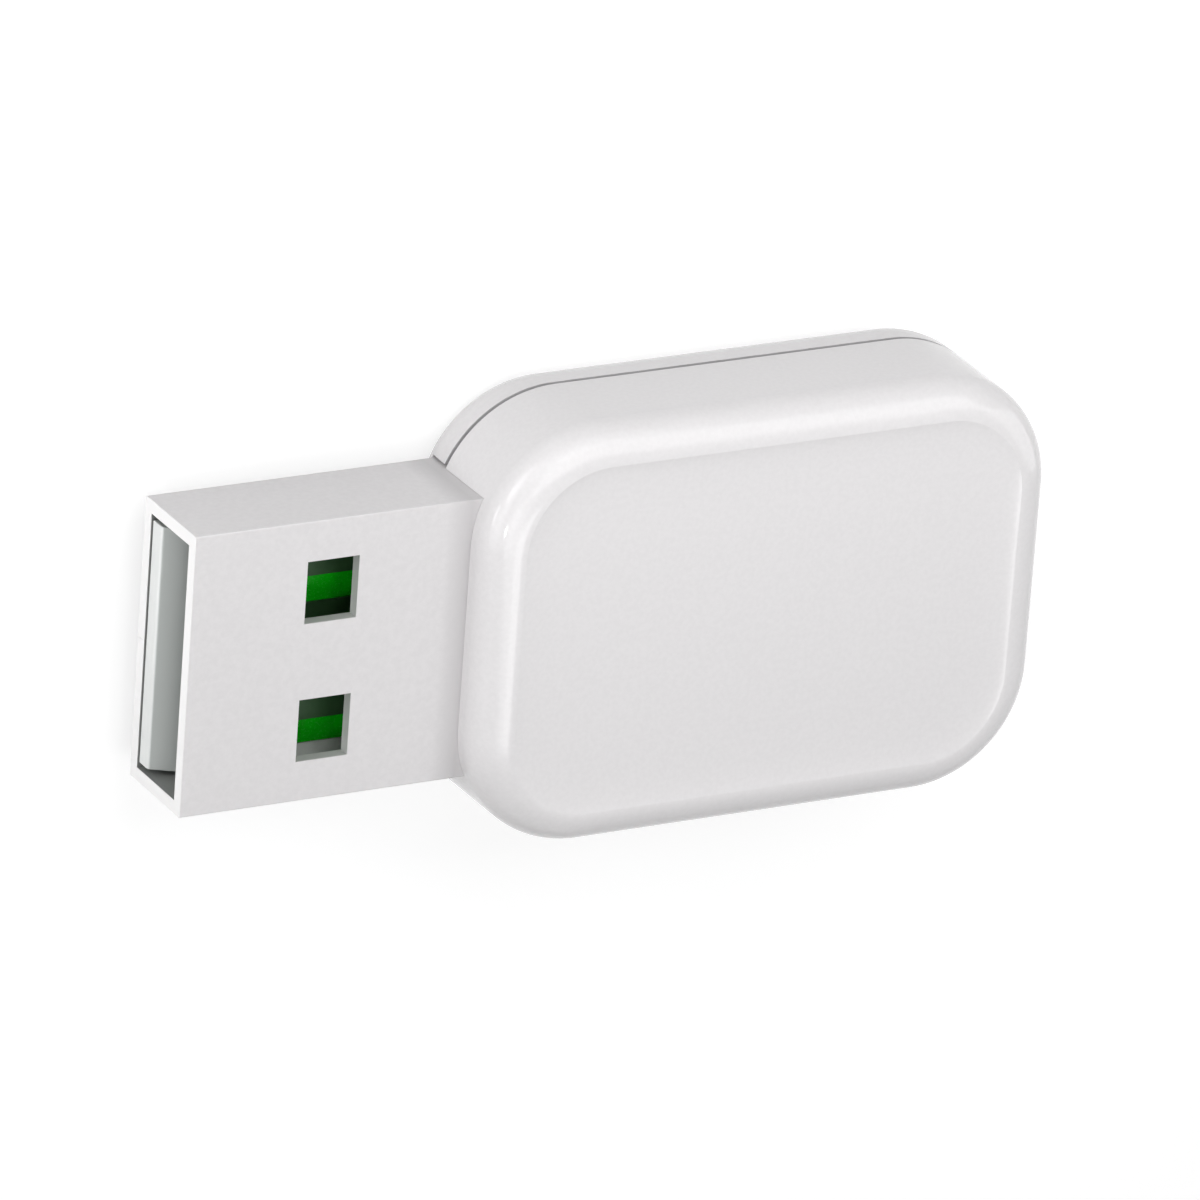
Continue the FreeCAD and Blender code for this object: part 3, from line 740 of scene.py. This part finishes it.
def housing_finish():
    """Gloss white plastic, with painted shade in the seam's groove and a painted highlight on its
    edges.
    """
    finish = make_material("Gloss White Housing", colour(235, 233, 234), colour(232, 230, 231),
                           cloud_scale=5200, grain_scale=12000, rough=(0.1, 0.15),
                           bump=0.0002 * MM)
    groove_half = GROOVE_HEIGHT / 2
    # Painted shade: the seam's groove made grey.
    tint_band(finish, colour(190, 188, 190), "Z", SEAM_Z + groove_half, groove_half, SHARP)
    # Painted highlight: paler edges on the housing.
    paint_edge_wear_and_highlight(finish, colour(241, 240, 240), reach=0.08 * MM, amount=0.6)
    return finish


def shade_inside_sleeve(material):
    """Painted shade inside the sleeve: grey on its inner walls, lighter grey at its windows."""
    tree = material.node_tree
    across = add_band(material, "Y", 0, PLUG_HALF - COAT, SHARP)
    through = add_band(material, "Z", PLUG_MIDDLE_Z, PLUG_HALF_HEIGHT - COAT, SHARP)
    outside = add_math(tree, "MAXIMUM", across.outputs["Outer Mask"], through.outputs["Outer Mask"])
    windows = add_band(material, "X", MOUTH_X + WINDOW_FROM_MOUTH + WINDOW_LENGTH / 2,
                       WINDOW_LENGTH, SHARP)
    feed(tree, colour(192, 193, 191), windows.inputs["Inner Colour"])
    feed(tree, colour(140, 142, 140), windows.inputs["Outer Colour"])
    base = shader_input(material, "Base Color")
    tone = add_blend(tree, outside, windows.outputs["Colour"], base.links[0].from_socket)
    feed(tree, tone, base)


def sleeve_finish():
    """White coated sheet, with painted shade beside the housing and inside it, and a painted
    highlight on its edges and on its cut edge at the mouth.
    """
    finish = make_material("White Coated Sheet", colour(229, 227, 228), colour(225, 223, 224),
                           cloud_scale=4200, grain_scale=9000, rough=(0.38, 0.5),
                           bump=0.001 * MM)
    # Painted shade where the plug enters the housing.
    tint_band(finish, colour(204, 202, 203), "X", HOUSING_X, half_width=0, fade=SHADE_REACH)
    # Painted highlight: paler edges on the sleeve.
    paint_edge_wear_and_highlight(finish, colour(240, 239, 239), reach=0.06 * MM, amount=0.7)
    # Painted shade on the sleeve's inner walls.
    shade_inside_sleeve(finish)
    # Painted highlight on the sleeve's cut edge at the mouth.
    tint_band(finish, colour(248, 247, 247), "X", MOUTH_X, half_width=SHARP, fade=2 * SHARP)
    return finish


def tray_finish():
    """Pale matt plastic, with painted shade on its ramp, a painted highlight on its edges and
    painted light on its end in the mouth.
    """
    finish = make_material("Pale Tray Plastic", colour(204, 207, 204), colour(194, 197, 194),
                           cloud_scale=1600, grain_scale=9000, rough=(0.35, 0.45),
                           bump=0.001 * MM)
    ramp_half = RAMP_LENGTH / 2
    # Painted shade on the ramp.
    tint_band(finish, colour(173, 177, 175), "X", tray_low.x + ramp_half, ramp_half, RAMP_FADE)
    # Painted highlight: paler edges on the tray.
    paint_edge_wear_and_highlight(finish, colour(226, 231, 229), reach=0.06 * MM, amount=0.6)
    # Painted light on the tray's end in the mouth.
    tint_band(finish, colour(228, 230, 229), "X", tray_low.x, END_HALF, END_FADE)
    return finish


def board_finish():
    """Green solder mask, browner where the laminate shows at the edges."""
    finish = make_material("Green Solder Mask", colour(0, 184, 6), colour(0, 172, 5),
                           cloud_scale=500, grain_scale=12000, rough=(0.2, 0.3),
                           bump=0.002 * MM)
    paint_edge_wear_and_highlight(finish, colour(120, 132, 70), reach=0.05 * MM, amount=0.5)
    return finish


def contact_finish():
    """Dark grey-green contacts, brighter along their edges."""
    finish = make_material("Dark Green Contact", colour(52, 84, 52), colour(46, 76, 46),
                           cloud_scale=900, grain_scale=9000, rough=(0.3, 0.45),
                           bump=0.001 * MM, metallic=0.3)
    paint_edge_wear_and_highlight(finish, colour(96, 120, 84), reach=0.03 * MM, amount=0.4)
    return finish


def tin_finish():
    """Dull tinned sheet."""
    finish = make_material("Tinned Sheet", TIN, colour(192, 194, 198),
                           cloud_scale=700, grain_scale=9000, rough=(0.25, 0.42),
                           bump=0.002 * MM, metallic=1.0)
    paint_edge_wear_and_highlight(finish, colour(226, 227, 228), reach=0.08 * MM, amount=0.8)
    return finish


def resin_finish(name):
    """Black moulding resin with a dull grain."""
    finish = make_material(name, colour(34, 34, 36), colour(28, 28, 30),
                           cloud_scale=900, grain_scale=14000, rough=(0.5, 0.65),
                           bump=0.004 * MM)
    paint_edge_wear_and_highlight(finish, colour(62, 62, 64), reach=0.04 * MM, amount=0.6)
    return finish


def leaded_finish(name, node):
    """A resin package whose leads stand out across the board."""
    low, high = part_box(node)
    finish = resin_finish(name)
    tin_outside(finish, "Y", (low.y + high.y) / 2, (high.y - low.y) / 2 - LEAD_REACH + SHARP)
    return finish


def capped_finish(name, node, tones, axis, count=1):
    """A ceramic chip, tinned on the first and last fifth of its length, alone or in a row on Y."""
    low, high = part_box(node)
    finish = make_material(name, *tones, cloud_scale=900, grain_scale=9000, rough=(0.45, 0.6),
                           bump=0.003 * MM)
    paint_edge_wear_and_highlight(finish, colour(232, 230, 226), reach=0.03 * MM, amount=0.4)
    if axis == "X":
        tin_outside(finish, "X", (low.x + high.x) / 2, (high.x - low.x) * CORE_HALF)
        return finish
    length = (high.y - low.y) - (count - 1) * ROW_PITCH
    pitch = ROW_PITCH if count > 1 else ONCE
    tin_outside(finish, "Y", low.y + length / 2, length * CORE_HALF, pitch)
    return finish


def crystal_finish():
    """A dark ceramic base under a tinned lid."""
    low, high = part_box("radio_crystal")
    finish = make_material("Crystal Can", colour(70, 66, 62), colour(60, 57, 54),
                           cloud_scale=900, grain_scale=9000, rough=(0.3, 0.45),
                           bump=0.002 * MM)
    paint_edge_wear_and_highlight(finish, colour(110, 106, 100), reach=0.04 * MM, amount=0.5)
    tin_outside(finish, "Z", low.z, (high.z - low.z) / 2 + SHARP)
    return finish


housing_white = housing_finish()
contact_dark = contact_finish()

# The modelled pieces
install(model_front_housing(), ["front_shell"], housing_white)
install(model_back_housing(), ["back_cover"], housing_white)
install(model_plug_sleeve(), ["plug_shell"], sleeve_finish())
install(model_tongue_tray(), ["tongue_carrier"], tray_finish())
for part in ("power", "data_minus", "data_plus", "ground"):
    node = part + "_contact"
    install(model_contact(part + "_plate", node), [node], contact_dark)

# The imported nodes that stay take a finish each
FINISHES = {
    "main_board": board_finish(),
    "surge_protector": leaded_finish("Surge Protector Resin", "surge_protector"),
    "power_fuse": capped_finish("Fuse Ceramic", "power_fuse", BLUE_GREEN, "X"),
    "ferrite_bead": capped_finish("Ferrite Ceramic", "ferrite_bead", GREY, "X"),
    "usb_bridge_chip": resin_finish("Bridge Chip Resin"),
    "bulk_capacitor": capped_finish("Bulk Capacitor Ceramic", "bulk_capacitor", TAN, "X"),
    "voltage_regulator": leaded_finish("Regulator Resin", "voltage_regulator"),
    "resistors": capped_finish("Resistor Film", "resistors", DARK, "Y", 4),
    "shield_can": tin_finish(),
    "bypass_capacitors": capped_finish("Bypass Capacitor Ceramic", "bypass_capacitors", TAN,
                                       "Y", 6),
    "radio_chip": resin_finish("Radio Chip Resin"),
    "radio_crystal": crystal_finish(),
    "matching_inductors": capped_finish("Inductor Ceramic", "matching_inductors", GREY, "Y", 2),
    "chip_antenna": capped_finish("Antenna Ceramic", "chip_antenna", PALE, "Y"),
}
for node_name, finish in FINISHES.items():
    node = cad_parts[node_name]
    node.data.materials.clear()
    node.data.materials.append(finish)

# Camera: the photograph's view, looking down on the lying stick with the frame rolled
CAMERA_PLACE = Vector((-221.91, 191.14, 401.31)) * MM
CAMERA_RIGHT = Vector((0.884239, 0.067921, 0.462069))
CAMERA_DOWN = Vector((-0.124214, -0.919533, 0.372867))
CAMERA_LENS = 370.31
CAMERA_SENSOR = 36.0
CAMERA_NEAREST = 0.01
CAMERA_FARTHEST = 10

# The studio: places and heights in metres, brightness as a share of white
STICK = (0, 0, 0)
MOUTH = (MOUTH_X, 0, 3.2 * MM)
LOW = 0.08
NEAR = 0.13
FAR = 0.44
FLOOR_SIZE = 4
FLOOR_GREY = (0.5, 0.5, 0.5, 1)
FLOOR_GLOW = 0.66
ROOM_LIGHT = 0.04
WHITE = (1, 1, 1, 1)

camera_data = bpy.data.cameras.new("camera")
camera_data.lens = CAMERA_LENS
camera_data.sensor_width = CAMERA_SENSOR
camera_data.clip_start = CAMERA_NEAREST
camera_data.clip_end = CAMERA_FARTHEST
camera = bpy.data.objects.new("camera", camera_data)
bpy.context.scene.collection.objects.link(camera)
right = CAMERA_RIGHT.normalized()
back = right.cross(-CAMERA_DOWN).normalized()
up = back.cross(right)
turned = Matrix((right, up, back)).transposed().to_4x4()
camera.matrix_world = Matrix.Translation(CAMERA_PLACE) @ turned
bpy.context.scene.camera = camera


def background_rays(tree):
    """1 for rays that show the background: from the camera, mirrored or let through."""
    path = tree.nodes.new("ShaderNodeLightPath").outputs
    either = add_math(tree, "MAXIMUM", path["Is Camera Ray"], path["Is Glossy Ray"])
    return add_math(tree, "MAXIMUM", either, path["Is Transmission Ray"])


def add_floor():
    """A plain white floor that keeps the object's shadow and looks white to the camera."""
    select_nothing()
    bpy.ops.mesh.primitive_plane_add(size=FLOOR_SIZE)
    floor = bpy.context.active_object
    floor.name = "floor"
    material = bpy.data.materials.new("White Floor")
    material.use_nodes = True
    tree = material.node_tree
    tree.nodes.clear()
    out = tree.nodes.new("ShaderNodeOutputMaterial")
    paper = tree.nodes.new("ShaderNodeBsdfDiffuse")
    glow = tree.nodes.new("ShaderNodeEmission")
    total = tree.nodes.new("ShaderNodeAddShader")
    feed(tree, FLOOR_GREY, paper.inputs["Color"])
    feed(tree, WHITE, glow.inputs["Color"])
    feed(tree, add_math(tree, "MULTIPLY", background_rays(tree), FLOOR_GLOW),
         glow.inputs["Strength"])
    feed(tree, paper.outputs["BSDF"], total.inputs[0])
    feed(tree, glow.outputs["Emission"], total.inputs[1])
    feed(tree, total.outputs["Shader"], out.inputs["Surface"])
    floor.data.materials.append(material)


def add_lamp(name, place, target, half_size, radiance):
    """A soft rectangular lamp at a place, facing a target."""
    place = Vector(place)
    width, height = 2 * half_size[0], 2 * half_size[1]
    lamp_data = bpy.data.lights.new(name, "AREA")
    lamp_data.shape = "RECTANGLE"
    lamp_data.size = width
    lamp_data.size_y = height
    lamp_data.energy = radiance * math.pi * width * height
    lamp = bpy.data.objects.new(name, lamp_data)
    bpy.context.scene.collection.objects.link(lamp)
    lamp.location = place
    lamp.rotation_mode = "QUATERNION"
    lamp.rotation_quaternion = (place - Vector(target)).to_track_quat("Z", "Y")
    lamp.visible_camera = False


def add_overhead(name, height, x_slopes, y_slopes, radiance):
    """A level lamp above the stick, its edges given as sideways distance over height."""
    x0, x1 = (slope * height for slope in x_slopes)
    y0, y1 = (slope * height for slope in y_slopes)
    x, y = (x0 + x1) / 2, (y0 + y1) / 2
    add_lamp(name, (x, y, height), (x, y, 0), ((x1 - x0) / 2, (y1 - y0) / 2), radiance)


def set_world(strength):
    """A dim white room that looks white to the camera and in mirrors."""
    world = bpy.data.worlds.new("studio")
    bpy.context.scene.world = world
    world.use_nodes = True
    tree = world.node_tree
    tree.nodes.clear()
    out = tree.nodes.new("ShaderNodeOutputWorld")
    room = tree.nodes.new("ShaderNodeBackground")
    feed(tree, WHITE, room.inputs["Color"])
    feed(tree, add_range(tree, background_rays(tree), 0, 1, strength, 1), room.inputs["Strength"])
    feed(tree, room.outputs["Background"], out.inputs["Surface"])


add_floor()
set_world(ROOM_LIGHT)

# Height, slopes along X and along Y, radiance
add_overhead("overhead_left", NEAR, (-0.5, 0.1), (-0.46, -0.1), 0.52)
add_overhead("overhead_upper", LOW, (-0.5, 0.4), (0.3, 1.4), 1.75)
add_overhead("overhead_mouth", NEAR, (-1.0, -0.5), (-0.46, 0.3), 1.88)
add_overhead("overhead_middle", NEAR, (0.2, 0.4), (-0.46, -0.1), 0.5)
add_overhead("overhead_right", NEAR, (0.4, 1.3), (-0.9, 0.3), 0.22)
add_overhead("overhead_upper_right", LOW, (0.4, 1.3), (0.3, 1.4), 1.65)
add_overhead("high_strip", FAR, (-0.2, 0.2), (-0.5, -0.15), 2.9)
add_overhead("high_panel", FAR, (-0.5, -0.2), (-0.6, 0.1), 1.2)

# Place, target, half size, radiance
add_lamp("right_side", (0.464, 0, 0.186), STICK, (0.14, 0.19), 1.5)
add_lamp("upper_side", (-0.01, 0.074, 0.043), STICK, (0.055, 0.0193), 0.9)
add_lamp("mouth_side", (-0.471, 0.127, 0.107), STICK, (0.26, 0.1), 1.45)
add_lamp("corner_side", (-0.26, 0.21, 0.05), STICK, (0.09, 0.045), 2.4)
add_lamp("mouth_card", (-0.04, 0.004, 0.0027), MOUTH, (0.012, 0.0023), 4.6)
add_lamp("lower_side", (0, -0.488, 0.107), STICK, (0.2, 0.1), 0.42)
add_lamp("glint", (-0.353, -0.012, 0.28), STICK, (0.022, 0.006), 120)
bpy.context.scene.view_settings.view_transform = "Standard"
